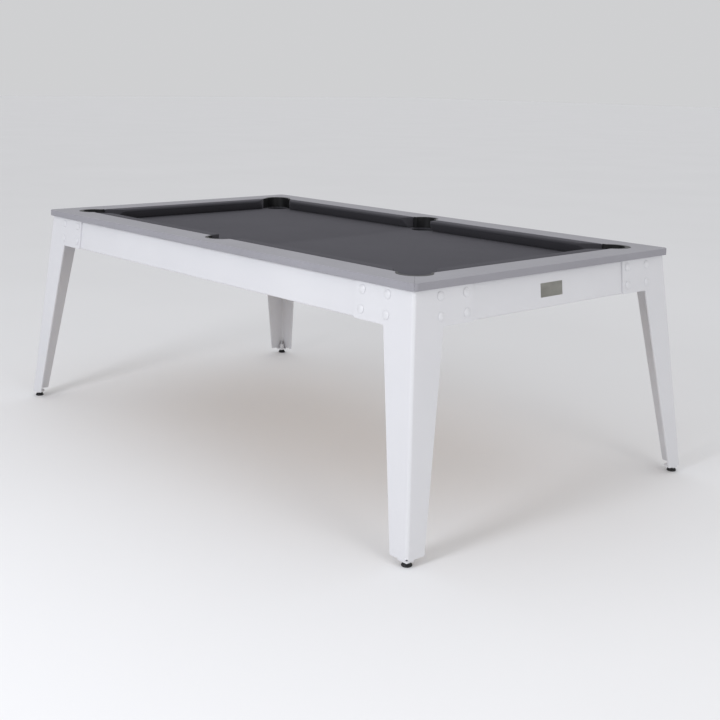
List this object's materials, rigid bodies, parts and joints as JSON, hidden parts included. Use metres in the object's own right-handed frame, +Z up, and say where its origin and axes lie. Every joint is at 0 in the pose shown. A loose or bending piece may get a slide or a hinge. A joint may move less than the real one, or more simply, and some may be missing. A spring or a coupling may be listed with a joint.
{
  "type": "pool table",
  "caption": "Dining-height six-pocket pool table: splayed folded-plate legs bolted to leaning steel aprons, grey rail boards, dark cloth bed, levelling feet.",
  "frame": {"origin": "on the floor under the middle of the table", "axes": "+X towards the end with the nameplate, along the length; +Y across the width; +Z up"},
  "size_m": [2.1414, 1.2774, 0.75],
  "materials": {
    "powder_coat": "white fine-texture powder coat, satin",
    "coated_bolts": "white powder-coated dome-head bolts",
    "beam_steel": "white powder coat on rectangular steel tube",
    "rail_laminate": "plain grey laminate on board, satin",
    "cloth": "charcoal worsted cloth, matt",
    "slate": "honed grey slate",
    "plywood": "birch plywood",
    "pocket_plastic": "black moulded plastic, semi-gloss",
    "nameplate_metal": "blank brushed metal plate",
    "foot_plastic": "black moulded nylon",
    "foot_steel": "zinc-plated threaded stud"
  },
  "bodies": {
    "root": {"leg_front_left": "powder_coat", "leg_front_right": "powder_coat", "leg_rear_left": "powder_coat", "leg_rear_right": "powder_coat", "apron_front": "powder_coat", "apron_rear": "powder_coat", "apron_left": "powder_coat", "apron_right": "powder_coat", "bolts_front_left": "coated_bolts", "bolts_front_right": "coated_bolts", "bolts_rear_left": "coated_bolts", "bolts_rear_right": "coated_bolts", "bolts_left_front": "coated_bolts", "bolts_left_rear": "coated_bolts", "bolts_right_front": "coated_bolts", "bolts_right_rear": "coated_bolts", "cross_beam_1": "beam_steel", "cross_beam_2": "beam_steel", "cross_beam_3": "beam_steel", "cross_beam_4": "beam_steel", "rail_front": "rail_laminate", "rail_rear": "rail_laminate", "rail_left": "rail_laminate", "rail_right": "rail_laminate", "cushion_front": "cloth", "cushion_rear": "cloth", "cushion_left_front": "cloth", "cushion_left_rear": "cloth", "cushion_right_front": "cloth", "cushion_right_rear": "cloth", "bed_cloth": "cloth", "slate": "slate", "bed_board": "plywood", "pocket_liner_front_left": "pocket_plastic", "pocket_liner_front_right": "pocket_plastic", "pocket_liner_rear_left": "pocket_plastic", "pocket_liner_rear_right": "pocket_plastic", "pocket_liner_middle_left": "pocket_plastic", "pocket_liner_middle_right": "pocket_plastic", "pocket_cup_front_left": "pocket_plastic", "pocket_cup_front_right": "pocket_plastic", "pocket_cup_rear_left": "pocket_plastic", "pocket_cup_rear_right": "pocket_plastic", "pocket_cup_middle_left": "pocket_plastic", "pocket_cup_middle_right": "pocket_plastic", "nameplate": "nameplate_metal"},
    "pad_front_left": {"foot_pad_front_left": "foot_plastic"},
    "stud_front_left": {"foot_stud_front_left": "foot_steel"},
    "pad_front_right": {"foot_pad_front_right": "foot_plastic"},
    "stud_front_right": {"foot_stud_front_right": "foot_steel"},
    "pad_rear_left": {"foot_pad_rear_left": "foot_plastic"},
    "stud_rear_left": {"foot_stud_rear_left": "foot_steel"},
    "pad_rear_right": {"foot_pad_rear_right": "foot_plastic"},
    "stud_rear_right": {"foot_stud_rear_right": "foot_steel"}
  },
  "joints": [
    {"name": "level_front_left", "type": "slide", "parent": "root", "child": "pad_front_left", "axis": [0, 0, 1], "range_m": [-0.015, 0]},
    {"name": "screw_front_left", "type": "hinge", "parent": "pad_front_left", "child": "stud_front_left", "pos_m": [1.05042, -0.61842, 0.03], "axis": [0, 0, 1], "range_deg": [-3605, 5]},
    {"name": "level_front_right", "type": "slide", "parent": "root", "child": "pad_front_right", "axis": [0, 0, 1], "range_m": [-0.015, 0]},
    {"name": "screw_front_right", "type": "hinge", "parent": "pad_front_right", "child": "stud_front_right", "pos_m": [1.05042, 0.61842, 0.03], "axis": [0, 0, 1], "range_deg": [-3605, 5]},
    {"name": "level_rear_left", "type": "slide", "parent": "root", "child": "pad_rear_left", "axis": [0, 0, 1], "range_m": [-0.015, 0]},
    {"name": "screw_rear_left", "type": "hinge", "parent": "pad_rear_left", "child": "stud_rear_left", "pos_m": [-1.05042, -0.61842, 0.03], "axis": [0, 0, 1], "range_deg": [-3605, 5]},
    {"name": "level_rear_right", "type": "slide", "parent": "root", "child": "pad_rear_right", "axis": [0, 0, 1], "range_m": [-0.015, 0]},
    {"name": "screw_rear_right", "type": "hinge", "parent": "pad_rear_right", "child": "stud_rear_right", "pos_m": [-1.05042, 0.61842, 0.03], "axis": [0, 0, 1], "range_deg": [-3605, 5]}
  ],
  "couplings": [
    {"joint": "screw_front_left", "follows": "level_front_left", "rad_per_m": 4188.8},
    {"joint": "screw_front_right", "follows": "level_front_right", "rad_per_m": 4188.8},
    {"joint": "screw_rear_left", "follows": "level_rear_left", "rad_per_m": 4188.8},
    {"joint": "screw_rear_right", "follows": "level_rear_right", "rad_per_m": 4188.8}
  ]
}
